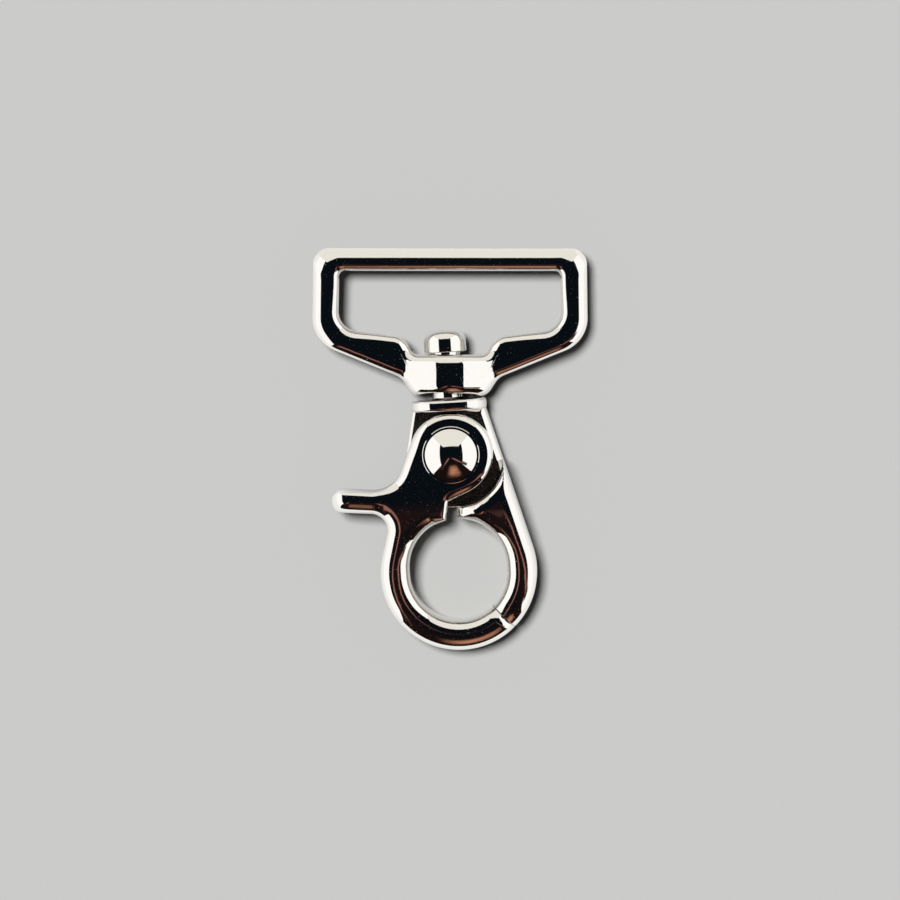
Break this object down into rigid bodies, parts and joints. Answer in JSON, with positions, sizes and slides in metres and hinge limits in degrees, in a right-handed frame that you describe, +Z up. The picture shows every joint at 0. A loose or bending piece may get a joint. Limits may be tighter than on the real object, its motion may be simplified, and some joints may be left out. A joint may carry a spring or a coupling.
{
  "type": "scissor snap hook",
  "caption": "Scissor snap hook: a sprung thumb lever and a fixed jaw close a round eye under a swivelling strap loop, in bright nickel-plated castings.",
  "frame": {"origin": "on the rivet's axis, in the plane of the back that the clip lies on", "axes": "+X across the clip, away from the thumb tab; +Y along the swivel stem, from the eye towards the strap loop; +Z up out of the front, through the rivet's domed head"},
  "size_m": [0.0326, 0.0482, 0.0078],
  "materials": {
    "nickel_casting": "mirror-bright nickel plate on a tumbled zinc die casting",
    "nickel_rivet": "bright nickel plate on steel",
    "spring_wire": "drawn spring steel wire"
  },
  "bodies": {
    "hook": {"hook_body": "nickel_casting", "pivot_rivet": "nickel_rivet", "torsion_spring": "spring_wire"},
    "lever": {"thumb_lever": "nickel_casting"},
    "loop": {"strap_loop": "nickel_casting"}
  },
  "joints": [
    {"name": "lever_pivot", "type": "hinge", "parent": "hook", "child": "lever", "pos_m": [0, 0, 0.0033], "axis": [0, 0, -1], "range_deg": [0, 35], "stiffness_Nm_per_rad": 0.015, "springref_deg": -68.75, "deforming": ["torsion_spring"]},
    {"name": "loop_swivel", "type": "hinge", "parent": "hook", "child": "loop", "pos_m": [0, 0.00926, 0.0033], "axis": [0, 1, 0], "continuous": true}
  ]
}
